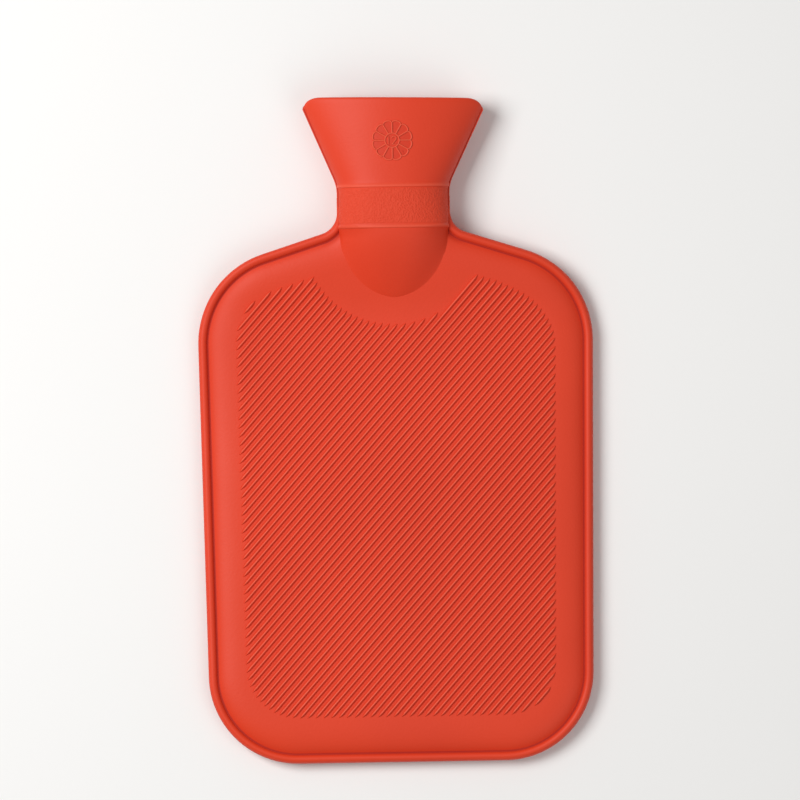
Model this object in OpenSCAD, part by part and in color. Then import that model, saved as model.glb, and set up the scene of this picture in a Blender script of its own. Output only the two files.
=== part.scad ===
// Rubber hot water bottle with a screw stopper, lying empty on its back.
// X runs across the bottle, Y from its foot to its mouth, Z up from the table.
// The bottle is drawn flat about its parting plane first, and then its shoulders
// are bent up, so that the ribbed body and the thicker neck both touch the table.

/* [Body] */
// Length from the foot rim to the lip of the funnel
total_l = 337; // [310:1:370]
// Width across the rims at the shoulders
body_w = 200; // [180:1:220]
// Width across the rims at the foot
foot_w = 195; // [175:1:215]
// Outer radius of the two foot corners
foot_r = 45; // [35:1:55]
// Outer radius of the two shoulders
shoulder_r = 47.5; // [40:0.5:55]
// Height of the shoulder curves' centres above the foot rim
shoulder_y = 213; // [205:1:216]
// Fall of the shoulders to either side of the neck, in degrees
shoulder_slope = 17.7; // [15:0.1:20]
// Thickness over both walls, without the ribs
body_t = 10.4; // [9:0.2:14]
// Thickness of the rubber wall under the ribs
wall_t = 2.1; // [1.6:0.1:2.6]

/* [Rim] */
// Width of the round bead along the edge
rim_w = 5; // [4:0.1:6]
// Thickness of the bead through both halves
rim_t = 6.4; // [5.2:0.1:8]
// Width of the groove inside the bead
groove_w = 1.6; // [1:0.1:2.5]
// Thickness of the joined walls under the groove
groove_t = 3.6; // [2.8:0.1:4.4]

/* [Ribs] */
// Distance between two ribs, square to their length
rib_pitch = 2.9; // [2.6:0.05:4]
// Height of a rib above the wall
rib_h = 1.2; // [0.8:0.1:1.6]
// Width of a rib at its crest
rib_crest_w = 0.9; // [0.6:0.1:1.2]
// Width of a rib at its foot
rib_foot_w = 1.9; // [1.4:0.1:2.4]
// Lean of the ribs from the horizontal, rising to the right, in degrees
rib_angle = 50; // [40:1:60]
// Plain margin between the outline and the ribbed field
field_inset = 19; // [16:0.5:22]
// Radius of the plain patch below the neck
patch_r = 46; // [40:1:50]
// Height of the plain patch's centre above the foot rim
patch_y = 268; // [262:1:274]

/* [Neck] */
// Width of the neck
neck_w = 57.2; // [52:0.2:62]
// Thickness of the neck
neck_t = 31; // [30:0.2:36]
// Height of the lower neck ridge above the foot rim
neck_y = 271.4; // [268:0.2:275]
// Length of the neck between its two ridges
neck_l = 20.6; // [19:0.2:24]
// Width of a neck ridge
ridge_w = 1.4; // [1:0.1:2]
// Height of a neck ridge
ridge_h = 0.5; // [0.3:0.1:0.8]
// Radius between the neck and a shoulder
neck_fillet_r = 11; // [8:0.5:14]
// Length of the dome that eases the neck into the body
dome_l = 38; // [32:1:42]
// Wall of the dome
dome_wall = 3; // [2.4:0.1:3.6]
// Length over which the shoulders rise from the table to the neck
bend_l = 43; // [40:1:60]

/* [Funnel] */
// Width of the funnel where it is widest
funnel_w = 91; // [80:1:100]
// Thickness of the funnel at its mouth
funnel_t = 32; // [31:0.2:38]
// Wall of the funnel
funnel_wall = 2.6; // [2:0.1:2.8]
// Height of the rounded corners of the lip
lip_r = 6; // [4:0.5:8]
// How far the rounded corners of the lip draw its sides in
lip_draw = 8; // [5:0.5:12]
// Straight length of the funnel above the upper ridge
funnel_foot_l = 1.5; // [1:0.5:6]

/* [Stopper] */
// Outer radius of the stopper's thread
thread_r = 8.8; // [8:0.1:9.4]
// Depth of the thread
thread_depth = 1.2; // [0.8:0.1:1.4]
// Rise of the thread in one turn
thread_pitch = 4; // [3.6:0.1:5]
// Length of the threaded part of the stopper
thread_l = 13; // [10:0.5:15]
// Gap round the stopper's thread in the bush
thread_gap = 0.3; // [0.2:0.05:0.4]
// Outer radius of the bush
bush_r = 12; // [11.5:0.1:12.6]
// Height of the bush above the floor of the funnel
bush_proud = 0.6; // [0.3:0.1:1]
// How far the bush's two anchoring collars stand out
collar_h = 1; // [0.6:0.1:1.2]
// Thickness of an anchoring collar
collar_l = 3.4; // [2:0.2:4]
// Outer radius of the sealing washer
washer_r = 10.8; // [10:0.1:11.4]
// Thickness of the sealing washer
washer_t = 3; // [2:0.1:4]
// Width of the stopper's grip
grip_w = 24; // [20:0.5:25]
// Thickness of the grip
grip_t = 7; // [5:0.5:9]
// Height of the grip above its collar
grip_l = 20; // [16:1:24]
// Thickness of the grip's collar
grip_collar_t = 4; // [3:0.5:5]
// Width of the grip's waist
grip_waist_w = 16; // [12:0.5:18]
// Radius of the stud's root inside the grip
stud_root_r = 5.6; // [4:0.1:6.2]

/* [Hidden] */

RUBBER = "#d8452f";
BRASS = "#b5924c";
GRIP = "#1d1d1f";

// Steps of a corner's arc and of half an oval section, and facets of a round
corner_n = 10;
oval_n = 9;
round_fn = 36;
// Overlap by which a cut runs past the face that it opens
skin = 0.02;

// Centres of the body's corners and the point where the two shoulder lines meet
foot_x = foot_w / 2 - foot_r;
shoulder_x = body_w / 2 - shoulder_r;
apex_y = shoulder_y + shoulder_x * tan(shoulder_slope) + shoulder_r / cos(shoulder_slope);

// Steps of the round bead, of the crowned margin beside it and of the dome
rim_steps = 3;
crown_steps = 3;
dome_steps = 3;
// How far outside the ribbed field the wall reaches its full thickness
crown_lead = 1.5;
// Height of the dome's flat top, as a share of the neck's thickness
dome_top = 0.42;
// How far a blended form ends inside the surface that it runs into
lap = 0.12;

// Neck, funnel and stopper stations above the foot rim
funnel_y = neck_y + neck_l;
funnel_foot_y = funnel_y + funnel_foot_l;
lip_y = total_l - lip_r;
seat_y = funnel_y + bush_proud;
bush_l = neck_l + bush_proud;
bush_bore_r = thread_r - thread_depth + thread_gap;
// Gap between the bush and the rubber moulded round it
pocket_gap = 0.06;

// Thread ridge: its start above the stud's tip, how deep it is rooted in the core,
// its widths as shares of the pitch, and how much more of the gap its leaning
// flanks need than its crest
thread_start = thread_pitch * 0.3;
thread_root = 0.4;
ridge_foot = 0.42;
ridge_crest = 0.25;
flank_share = 1.3;
flank_gap = 2 * thread_gap * flank_share;

// Bevel of the grip's collar
grip_bevel = grip_collar_t * 0.3;

// Heights of the parting plane above the table, for the body and for the neck
body_z = body_t / 2 + rib_h;
neck_z = max(neck_t / 2 + ridge_h, funnel_t / 2);
bend_y = neck_y - bend_l;
bend_slope = (neck_z - body_z) / bend_l;

function mix(a, b, u) = a + (b - a) * u;

// Points of an arc about [cx, cy] from angle a to angle b, at height z
function arc(cx, cy, r, a, b, z) =
  [for (i = [0 : corner_n]) let (t = mix(a, b, i / corner_n)) [cx + r * cos(t), cy + r * sin(t), z]];

// Angle of the side's normal, on the common tangent of a foot corner and a shoulder
side_dx = shoulder_x - foot_x;
side_dy = shoulder_y - foot_r;
side_a = atan2(side_dy, side_dx) - acos((foot_r - shoulder_r) / norm([side_dx, side_dy]));

// The outline of the body at height z, moved inwards by d
function body_ring(d, z) = concat(
  arc(foot_x, foot_r, foot_r - d, -90, side_a, z),
  arc(shoulder_x, shoulder_y, shoulder_r - d, side_a, 90 - shoulder_slope, z),
  [[0, apex_y - d / cos(shoulder_slope), z]],
  arc(-shoulder_x, shoulder_y, shoulder_r - d, 90 + shoulder_slope, 180 - side_a, z),
  arc(-foot_x, foot_r, foot_r - d, 180 - side_a, 270, z));

// An oval of width w and thickness t across the bottle at height y above the foot;
// p and q shape its sides and its crown
function oval_ring(y, w, t, p, q) = concat(
  [for (i = [-oval_n : oval_n]) let (u = sin(90 * i / oval_n))
    [u * w / 2, y, t / 2 * pow(1 - pow(abs(u), p), 1 / q)]],
  [for (i = [oval_n - 1 : -1 : 1 - oval_n]) let (u = sin(90 * i / oval_n))
    [u * w / 2, y, -t / 2 * pow(1 - pow(abs(u), p), 1 / q)]]);

// The neck's section, less a wall of w, the section of a ridge at y that is k ridge
// widths from its middle, and the neck's half width at height h
side_power = 2.4;
function neck_ring(y, w) = oval_ring(y, neck_w - 2 * w, neck_t - 2 * w, side_power, 2);
function ridge_ring(y, k) = neck_ring(y + k * ridge_w, abs(k) < 0.5 ? -ridge_h : 0);
function neck_half_w(h) = neck_w / 2 * pow(1 - pow(2 * h / neck_t, 2), 1 / side_power);

// The funnel's section between its foot and its lip, less a wall of w; drawn pulls
// its sides in where the lip is rounded
function funnel_ring(y, w, drawn) =
  let (u = min(1, max(0, y - funnel_foot_y) / (lip_y - funnel_foot_y)))
    oval_ring(y, mix(neck_w, funnel_w, u) - 2 * w - 2 * drawn, mix(neck_t, funnel_t, u) - 2 * w,
              mix(side_power, 2, u), mix(2, 1.25, u));

// A closed skin over rings with the same number of points
module skinned(rings) {
  n = len(rings[0]);
  last = (len(rings) - 1) * n;
  polyhedron(
    [for (ring = rings, point = ring) point],
    concat([[for (i = [0 : n - 1]) i], [for (i = [n - 1 : -1 : 0]) last + i]],
      [for (k = [0 : len(rings) - 2], i = [0 : n - 1]) let (j = (i + 1) % n)
        for (face = [[k * n + i, (k + 1) * n + j, k * n + j],
                     [k * n + i, (k + 1) * n + i, (k + 1) * n + j]]) face]));
}

// A crowned pad that swells from half thickness h0 at inset d0 to h1 at inset d1
module crowned(d0, h0, d1, h1, steps) {
  hull() skinned([for (side = [-1, 1], i = [0 : steps])
    body_ring(mix(d0, d1, i / steps), side * mix(h0, h1, sin(90 * i / steps)))]);
}

// Inset and height of the bead's round at angle a: 0 at the edge, 90 at its crown,
// and 180 at its inner foot
function bead_ring(a) = body_ring(rim_w / 2 * (1 - cos(a)), rim_t / 2 * sin(a));

// The round bead along the edge, with a dished recess on either side of it
module rim_bead() {
  low = 180 - asin(groove_t / rim_t / 2);
  difference() {
    hull() skinned([for (i = [-rim_steps : rim_steps]) bead_ring(90 * i / rim_steps)]);
    for (turn = [0, 180]) rotate([0, turn, 0])
      skinned(concat([for (i = [0 : rim_steps - 1]) bead_ring(mix(low, 90, i / (rim_steps - 1)))],
                     [body_ring(rim_w / 2, rim_t)]));
  }
}

// The lower half of an ellipse about the foot of the neck, at height z
function half_ellipse(rx, ry, z) = [for (i = [0 : 2 * corner_n]) let (t = 180 + 90 * i / corner_n)
  [rx * cos(t), neck_y + ry * sin(t), z]];

// The dome that eases the oval neck into the flat body, less a wall of w
module dome(w) {
  hull() {
    skinned([for (k = [0, 0.2]) neck_ring(neck_y + k * ridge_w, w + lap)]);
    for (i = [0 : dome_steps]) {
      u = i / dome_steps;
      h = mix(body_t / 2, neck_t * dome_top, u);
      reach = min(dome_l, bend_l - (h - body_z) / bend_slope);
      skinned([for (side = [-1, 1])
        half_ellipse(neck_half_w(h) - w - lap, reach - w, side * (h - w))]);
    }
  }
}

// The web and bead that round the corner between a shoulder and the neck
module neck_corner(side) {
  r = neck_fillet_r;
  cx = neck_w / 2 + r;
  cy = apex_y + r / cos(shoulder_slope) - cx * tan(shoulder_slope);
  foot = [cx - r * sin(shoulder_slope), cy - r * cos(shoulder_slope)];
  corner_y = apex_y - neck_w / 2 * tan(shoulder_slope);
  web_t = groove_t * 0.9;
  mirror([side < 0 ? 1 : 0, 0, 0]) {
    translate([0, 0, -web_t / 2]) linear_extrude(web_t) difference() {
      polygon([[neck_w / 2 - rim_w, corner_y - rim_w], foot - [0, rim_w], foot,
               [cx, cy], [neck_w / 2, cy], [neck_w / 2 - rim_w, cy]]);
      translate([cx, cy]) circle(r = r + rim_w / 3, $fn = corner_n * 4);
    }
    translate([cx, cy, 0]) rotate([0, 0, 180])
      rotate_extrude(angle = 90 - shoulder_slope, $fn = corner_n * 4)
        translate([r + rim_w / 2, 0]) scale([rim_w / 2 - lap, rim_t / 2 - lap])
          circle(r = 1, $fn = 4 * rim_steps);
  }
}

// The ribs of one side, from the wall's surface up, cut to the ribbed field
module ribs() {
  count = ceil((body_w / 2 + foot_w) / rib_pitch);
  difference() {
    intersection() {
      linear_extrude(4 * rib_h, center = true)
        polygon([for (p = body_ring(field_inset, 0)) [p[0], p[1]]]);
      translate([0, shoulder_y / 2, 0]) rotate([0, 0, rib_angle])
        for (i = [-count : count])
          translate([-total_l / 2, i * rib_pitch, 0]) rib_bar(total_l);
    }
    translate([0, patch_y, -rib_h])
      cylinder(r1 = patch_r - rib_h, r2 = patch_r + 2 * rib_h, h = 3 * rib_h,
               $fn = corner_n * 4);
  }
}

// One straight rib with leaning sides, sunk a little into the wall
module rib_bar(l) {
  a = rib_foot_w / 2;
  b = rib_crest_w / 2;
  sunk = wall_t / 4;
  rotate([90, 0, 90]) linear_extrude(l)
    polygon([[-a, -sunk], [a, -sunk], [a, 0], [b, rib_h], [-b, rib_h], [-a, 0]]);
}

// Both ribbed faces: each leans to the right when it is seen from its own side
module ribbed_faces() {
  for (turn = [0, 180])
    rotate([0, turn, 0]) translate([0, 0, body_t / 2]) ribs();
}

// The body as it leaves the mould, flat about its parting plane
module flat_body() {
  rim_bead();
  skinned([for (side = [-1, 1]) body_ring(rim_w / 2, side * groove_t / 2)]);
  crowned(rim_w + groove_w / 2, groove_t / 4, field_inset - crown_lead, body_t / 2, crown_steps);
  ribbed_faces();
  dome(0);
  for (side = [-1, 1]) neck_corner(side);
}

// The water space of the body and of the dome
module flat_cavity() {
  crowned(rim_w + groove_w + wall_t, groove_t / 8, field_inset + wall_t,
          body_t / 2 - wall_t, 1);
  dome(dome_wall);
}

// Bends a flat body up to the height of the neck, from bend_y on. The flat half runs on a little
// past the bend, so that the two halves share a thin slice there.
module bent() {
  big = 2 * total_l;
  translate([0, 0, body_z]) intersection() {
    children();
    translate([-big / 2, bend_y - big, -big / 2]) cube([big, big + skin, big]);
  }
  translate([0, 0, body_z])
    multmatrix([[1, 0, 0, 0], [0, 1, 0, 0], [0, bend_slope, 1, -bend_slope * bend_y]])
      intersection() {
        children();
        translate([-big / 2, bend_y, -big / 2]) cube(big);
      }
}

// Puts a piece drawn about Z on the axis of the neck, with its zero at height y
module on_neck_axis(y) {
  translate([0, y, neck_z]) rotate([-90, 0, 0]) children();
}

// A right-handed thread ridge of n turns about Z, between the radii r0 and r1
module thread_ridge(r0, r1, foot, crest, turns) {
  per_turn = 16;
  steps = ceil(turns * per_turn);
  profile = [[r0, -foot / 2], [r1, -crest / 2], [r1, crest / 2], [r0, foot / 2]];
  for (i = [0 : steps - 1])
    hull() polyhedron(
      [for (k = [i, i + 1], p = profile)
        [p[0] * cos(360 * k / per_turn), p[0] * sin(360 * k / per_turn),
         p[1] + thread_pitch * k / per_turn]],
      [[0, 1, 2, 3], [7, 6, 5, 4], [0, 4, 5, 1], [1, 5, 6, 2], [2, 6, 7, 3], [3, 7, 4, 0]]);
}

// Bush with anchoring collars; grow widens it for the pocket in the rubber
module bush_form(grow) {
  cylinder(r = bush_r + grow, h = bush_l, $fn = round_fn);
  for (z = [collar_l, bush_l - bush_proud - 2 * collar_l])
    translate([0, 0, z - grow])
      cylinder(r = bush_r + collar_h + grow, h = collar_l + 2 * grow, $fn = round_fn);
}

// The neck with its two ridges and the funnel, as one skin
module neck_and_funnel() {
  skinned(concat(
    [for (k = [2, 0.8]) neck_ring(neck_y - k * ridge_w, 3 * lap)],
    [for (k = [-0.15, 0.15, 0.5]) ridge_ring(neck_y, k)],
    [for (k = [-0.5, -0.15, 0.15, 0.5]) ridge_ring(funnel_y, k)],
    [for (y = [funnel_foot_y, lip_y]) funnel_ring(y, 0, 0)],
    [for (a = [30, 60, 90]) funnel_ring(lip_y + lip_r * sin(a), 0, lip_draw * (1 - cos(a)))]));
}

// The hollow of the funnel, open at the lip
module funnel_hollow() {
  skinned(concat(
    [neck_ring(funnel_y, funnel_wall)],
    [for (y = [funnel_foot_y, lip_y]) funnel_ring(y, funnel_wall, 0)],
    [funnel_ring(total_l + lip_r, funnel_wall, lip_draw / 2)]));
}

module rubber_bottle() {
  color(RUBBER) translate([0, -total_l / 2, 0]) difference() {
    union() {
      bent() flat_body();
      translate([0, 0, neck_z]) neck_and_funnel();
    }
    bent() flat_cavity();
    translate([0, 0, neck_z]) funnel_hollow();
    on_neck_axis(seat_y - bush_l) bush_form(pocket_gap);
  }
}

module threaded_bush() {
  color(BRASS) translate([0, -total_l / 2, 0]) on_neck_axis(seat_y - bush_l)
    difference() {
      bush_form(0);
      translate([0, 0, -skin])
        cylinder(r = bush_bore_r, h = bush_l + 2 * skin, $fn = round_fn);
      translate([0, 0, bush_l - thread_l + thread_start - thread_pitch])
        thread_ridge(bush_bore_r - thread_root, thread_r + thread_gap,
                     thread_pitch * ridge_foot + flank_gap,
                     thread_pitch * ridge_crest + flank_gap,
                     thread_l / thread_pitch + 1.5);
    }
}

module sealing_washer() {
  color("#2a2a2a") translate([0, -total_l / 2, 0]) on_neck_axis(seat_y) difference() {
    cylinder(r = washer_r, h = washer_t, $fn = round_fn);
    translate([0, 0, -skin])
      cylinder(r = bush_bore_r, h = washer_t + 2 * skin, $fn = round_fn);
  }
}

module stopper_stud() {
  color(BRASS) translate([0, -total_l / 2, 0]) on_neck_axis(seat_y) {
    translate([0, 0, -thread_l])
      cylinder(r = thread_r - thread_depth, h = thread_l + washer_t, $fn = round_fn);
    translate([0, 0, washer_t])
      cylinder(r = stud_root_r, h = grip_collar_t, $fn = round_fn);
    translate([0, 0, -thread_l + thread_start])
      thread_ridge(thread_r - thread_depth - thread_root, thread_r,
                   thread_pitch * ridge_foot, thread_pitch * ridge_crest,
                   (thread_l - 2 * thread_start) / thread_pitch);
  }
}

module stopper_grip() {
  bar_z = grip_collar_t + grip_l - grip_t / 2;
  color(GRIP) translate([0, -total_l / 2, 0]) on_neck_axis(seat_y + washer_t)
    difference() {
      union() {
        cylinder(r = washer_r, h = grip_collar_t - grip_bevel, $fn = round_fn);
        translate([0, 0, grip_collar_t - grip_bevel])
          cylinder(r1 = washer_r, r2 = washer_r - grip_bevel, h = grip_bevel,
                   $fn = round_fn);
        hull() for (x = [-1, 1])
          translate([x * (grip_w - grip_t) / 2, 0, bar_z]) sphere(d = grip_t, $fn = 20);
        hull() for (x = [-1, 1]) {
          translate([x * (grip_waist_w - grip_t) / 2, 0, bar_z])
            cylinder(d = grip_t * 0.9, h = skin, $fn = 20);
          translate([x * (grip_waist_w - grip_t) / 2, 0, grip_collar_t / 2])
            cylinder(d = grip_t, h = skin, $fn = 20);
        }
      }
      translate([0, 0, -skin])
        cylinder(r = stud_root_r, h = grip_collar_t + skin, $fn = round_fn);
    }
}

rubber_bottle();
threaded_bush();
sealing_washer();
stopper_stud();
stopper_grip();
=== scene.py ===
import math

import bpy
import numpy as np
from bpy.props import FloatProperty, FloatVectorProperty, IntProperty, PointerProperty
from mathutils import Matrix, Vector


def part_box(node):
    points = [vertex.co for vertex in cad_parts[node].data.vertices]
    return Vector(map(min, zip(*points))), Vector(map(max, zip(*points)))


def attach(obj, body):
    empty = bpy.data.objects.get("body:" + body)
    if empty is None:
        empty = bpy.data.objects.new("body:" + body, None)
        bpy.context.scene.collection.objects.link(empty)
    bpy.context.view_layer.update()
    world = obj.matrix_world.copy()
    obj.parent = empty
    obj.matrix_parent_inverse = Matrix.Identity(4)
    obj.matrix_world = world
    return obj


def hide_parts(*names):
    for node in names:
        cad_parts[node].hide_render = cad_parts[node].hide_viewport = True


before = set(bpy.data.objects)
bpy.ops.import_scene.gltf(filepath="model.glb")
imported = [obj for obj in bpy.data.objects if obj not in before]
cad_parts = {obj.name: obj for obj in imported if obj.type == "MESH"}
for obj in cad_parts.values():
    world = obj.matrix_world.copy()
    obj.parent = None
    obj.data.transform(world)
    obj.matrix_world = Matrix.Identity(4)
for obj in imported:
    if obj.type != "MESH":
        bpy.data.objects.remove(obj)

bl_info = {
    "name": "Hot water bottle",
    "version": (1, 0, 0),
    "blender": (4, 5, 0),
    "location": "3D View > Sidebar > Bottle",
    "description": "Builds a flat ribbed rubber hot water bottle with its screw stopper",
    "category": "Add Mesh",
}

MM = 0.001

# Distance from the bead to the bottom of the groove beside it
GROOVE_W = 0.2 * MM
# Roundness of the dome's outline and of the neck's section: 2 is an ellipse, more is fuller
DOME_POWER = 2.2
NECK_POWER = 2.4
# The slot hidden in the neck where the body's walls end: half its width, and its lower end
SLOT_X = 13.5 * MM
SLOT_Y = 256 * MM
# Points across the upper half of a section through the neck
NECK_POINTS = 49

BOTTLE_LOW, BOTTLE_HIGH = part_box("rubber_bottle")
BUSH_LOW, BUSH_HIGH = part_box("threaded_bush")
WASHER_LOW, WASHER_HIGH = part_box("sealing_washer")
STUD_LOW, STUD_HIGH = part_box("stopper_stud")
GRIP_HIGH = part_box("stopper_grip")[1]
AXIS_Z = (BUSH_LOW[2] + BUSH_HIGH[2]) / 2


def linear(hex_colour):
    """An sRGB hex colour as linear red, green, blue and alpha."""
    parts = [int(hex_colour[i:i + 2], 16) / 255 for i in (1, 3, 5)]
    return [c / 12.92 if c <= 0.04045 else ((c + 0.055) / 1.055) ** 2.4 for c in parts] + [1.0]


def length(name, description, default):
    """A length property in metres."""
    return FloatProperty(name=name, description=description, default=default, min=0.0,
                         precision=5, unit="LENGTH")


def angle(name, description, degrees):
    """An angle property, given in degrees."""
    return FloatProperty(name=name, description=description, default=math.radians(degrees),
                         subtype="ANGLE")


def location(name, description, xyz):
    """A place in the row frame, in metres."""
    return FloatVectorProperty(name=name, description=description, size=3, default=xyz,
                               precision=4, subtype="TRANSLATION", unit="LENGTH")


def watts(name, description, default):
    """The power of a light."""
    return FloatProperty(name=name, description=description, default=default, min=0.0,
                         unit="POWER")


def colour(name, description, hex_colour):
    """A colour property, given as sRGB hex."""
    return FloatVectorProperty(name=name, description=description, size=4, min=0.0, max=1.0,
                               subtype="COLOR", default=linear(hex_colour))


class BottleSizes(bpy.types.PropertyGroup):
    """Sizes of the rubber bottle. Heights are measured from the edge of its foot."""
    body_w: length("Body width", "Width at the shoulders", BOTTLE_HIGH[0] - BOTTLE_LOW[0])
    foot_w: length("Foot width", "Width just above the foot's corners", 195 * MM)
    foot_r: length("Foot corner", "Radius of the two corners at the foot", 45 * MM)
    shoulder_r: length("Shoulder radius", "Radius of the two shoulders", 47.5 * MM)
    shoulder_y: length("Shoulder height", "Height of the centres of the shoulder arcs", 213 * MM)
    shoulder_slope: angle("Shoulder slope", "Fall of the shoulders from the neck outwards", 17.7)
    body_z: length("Mid plane", "Height of the body's middle plane above the table", 6.4 * MM)
    body_t: length("Body thickness", "Thickness across both walls, without ribs", 10.4 * MM)
    bend_y: length("Bend", "Height at which the body starts to rise to the neck", 228.4 * MM)
    bend_soft: length("Bend softness", "Length over which the bend starts and ends", 8 * MM)
    bead_w: length("Bead width", "Width of the round bead along the edge", 4.7 * MM)
    bead_t: length("Bead thickness", "Thickness of the bead along the edge", 6.4 * MM)
    groove_t: length("Groove thickness", "Thickness left at the groove inside the bead", 2.9 * MM)
    field_inset: length("Field inset", "Width of the edge that has no ribs", 19 * MM)
    field_foot: length("Field foot", "How much wider the bare edge is at the foot", 4 * MM)
    field_lean: length("Field lean", "How much lower the ribs end at the right shoulder", 3 * MM)
    field_lean_w: length("Field lean width", "Width across which that difference grows", 22 * MM)
    patch_r: length("Patch radius", "Radius of the bare patch below the neck", 46 * MM)
    patch_y: length("Patch height", "Height of the middle of the bare patch", 268 * MM)
    rib_pitch: length("Rib pitch", "Distance between ribs, square to them", 2.97 * MM)
    rib_h: length("Rib height", "Height of the ribs above the wall", 1.2 * MM)
    rib_crest_w: length("Rib crest", "Width of a rib's rounded crest", 0.6 * MM)
    rib_foot_w: length("Rib foot", "Width of a rib where it meets the wall", 1.9 * MM)
    rib_fade: length("Rib fade", "Length over which a rib's end runs out", 3 * MM)
    rib_angle: angle("Rib angle", "Lean of the ribs from the horizontal", 48.6)
    ripple: length("Ripple", "Unevenness of the soft upper wall", 0.22 * MM)


class NeckSizes(bpy.types.PropertyGroup):
    """Sizes of the dome, the neck and the funnel. Heights are measured from the bottle's foot."""
    neck_w: length("Neck width", "Width of the neck across its seams", 57.2 * MM)
    neck_t: length("Neck thickness", "Thickness of the neck", 31 * MM)
    neck_y: length("Neck height", "Height of the neck's lower ridge", 271.4 * MM)
    neck_l: length("Neck length", "Length of the neck between its two ridges", 20.6 * MM)
    fillet_r: length("Neck fillet", "Radius of the corner between shoulder and neck", 11 * MM)
    ridge_w: length("Ridge width", "Width of the fine ridges round the neck", 2.4 * MM)
    ridge_h: length("Ridge height", "Height of the fine ridges round the neck", 0.5 * MM)
    dome_l: length("Dome length", "Length of the dome below the neck", 36 * MM)
    seam_w: length("Seam", "How far the side seam stands proud of the neck", 0.9 * MM)
    seam_t: length("Seam thickness", "Thickness of the side seam", 1.5 * MM)
    flare_soft: length("Flare softness", "Length over which the funnel starts", 4 * MM)
    funnel_w: length("Funnel width", "Width of the funnel across its seams", 91 * MM)
    funnel_t: length("Funnel thickness", "Thickness of the funnel at its lip", 32 * MM)
    funnel_wall: length("Funnel wall", "Thickness of the funnel's wall", 2.6 * MM)
    lip_drop: length("Lip drop", "How far the ends of the lip lie below its middle", 5.4 * MM)
    lip_corner: length("Lip corner", "Width over which each end of the lip rounds down", 8.4 * MM)
    lip_lean: length("Lip lean", "How much lower the lip's right end lies", 1.7 * MM)
    lip_reach: length("Lip reach", "How much further out the lip's right end lies", 1.2 * MM)
    rosette_r: length("Rosette radius", "Outer radius of the moulded rosette", 10 * MM)
    rosette_y: length("Rosette height", "Height of the middle of the rosette", 314.4 * MM)
    rosette_line: length("Rosette line", "Width of the rosette's raised lines", 0.9 * MM)
    rosette_h: length("Rosette relief", "Height of the rosette's raised lines", 0.6 * MM)
    hub_r: length("Rosette ring", "Radius of the ring that holds the number", 3.6 * MM)
    notch_r: length("Rosette notches", "Radius of the notches between the petals", 8.9 * MM)
    digit_line: length("Digit line", "Width of the number's raised lines", 0.75 * MM)
    petals: IntProperty(name="Petals", description="Petals of the rosette", default=12, min=3)


class StopperSizes(bpy.types.PropertyGroup):
    """Sizes of the screw stopper and its bush."""
    washer_hole_r: length("Washer hole", "Radius of the washer's hole", 7.7 * MM)
    washer_edge_r: length("Washer edge", "Bevel of the washer's outer edges", 0.5 * MM)
    thread_r: length("Thread radius", "Outer radius of the stud's thread", 8.8 * MM)
    core_r: length("Core radius", "Radius of the stud between its threads", 7.6 * MM)
    root_r: length("Root radius", "Radius of the stud inside the grip", 5.6 * MM)
    pitch: length("Thread pitch", "Rise of the thread in one turn", 4 * MM)
    thread_start: length("Thread start", "Plain length at both ends of the thread", 1.2 * MM)
    thread_sunk: length("Thread root", "How deep the thread's foot is sunk in the core", 0.4 * MM)
    ridge_foot_w: length("Thread foot", "Width of the thread's ridge at its foot", 1.68 * MM)
    ridge_crest_w: length("Thread crest", "Width of the thread's ridge at its crest", 1 * MM)
    chamfer: length("Stud chamfer", "Chamfer at the stud's tip", 0.6 * MM)
    collar_t: length("Collar thickness", "Thickness of the grip's round collar", 4 * MM)
    collar_edge: length("Collar edge", "Bevel of the collar's edges", 0.8 * MM)
    wing_sunk: length("Wing root", "How deep the wing is rooted in the collar", 0.6 * MM)
    grip_w: length("Grip width", "Width of the grip's wing", 24 * MM)
    grip_waist_w: length("Grip waist", "Width of the wing where it leaves the collar", 16 * MM)
    grip_t: length("Grip thickness", "Thickness of the wing", 7 * MM)
    grip_crown: length("Grip crown", "How far the ends of the wing's top lie below its middle", 2.2 * MM)
    grip_dish: FloatProperty(name="Grip dishes", default=0.3, min=0.0, max=0.9, subtype="FACTOR",
                             description="Share of the thickness that the finger dishes take")
    grip_cuts: IntProperty(name="Grip cuts", default=3, min=2,
                           description="Cuts across the wing before it is smoothed")


class Finishes(bpy.types.PropertyGroup):
    """Colours of the bottle and its stopper."""
    rubber: colour("Rubber", "Natural rubber coloured red", "#DF3F1F")
    # a painted highlight on crests, ridges and raised lines, and the lighter grain of the neck band
    rubber_grain_and_highlight: colour("Rubber crests", "Rubber where the mould rubbed it bright", "#F2694E")
    # painted shade in grooves, between ribs and at the feet of raised lines, and the darker tone of the
    # slow clouds
    rubber_tone_and_shade: colour("Rubber recesses", "Rubber in grooves and between ribs", "#960E06")
    brass: colour("Brass", "Turned brass of bush and stud", "#C9A35A")
    washer: colour("Washer rubber", "Black sealing rubber", "#1C1C1D")
    plastic: colour("Stopper plastic", "Black moulded plastic", "#0E0E10")
    floor: colour("Floor", "Pale table top", "#F4F3F1")


class StudioSettings(bpy.types.PropertyGroup):
    """The camera above the table and the soft lights round it."""
    view_w: length("View width", "Width of table that the picture takes in", 405 * MM)
    camera_place: location("Camera", "Place of the camera above the table",
                           (1.75 * MM, 14.9 * MM, 5.0))
    camera_turn: angle("Camera turn", "Turn of the camera about its view", -0.97)
    key_place: location("Key light", "Place of the large light", (-0.88, 0.36, 1.3))
    key_size: length("Key size", "Width of the large light", 0.8)
    key_power: watts("Key power", "Power of the large light", 20.5)
    fill_place: location("Fill light", "Place of the fill light", (0.8, -0.6, 1.4))
    fill_size: length("Fill size", "Width of the fill light", 1.2)
    fill_power: watts("Fill power", "Power of the fill light", 5.0)
    sky: FloatProperty(name="Surroundings", description="Brightness of the pale surroundings",
                       default=0.3, min=0.0)
    table_w: length("Table", "Width of the table top", 6.0)


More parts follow.
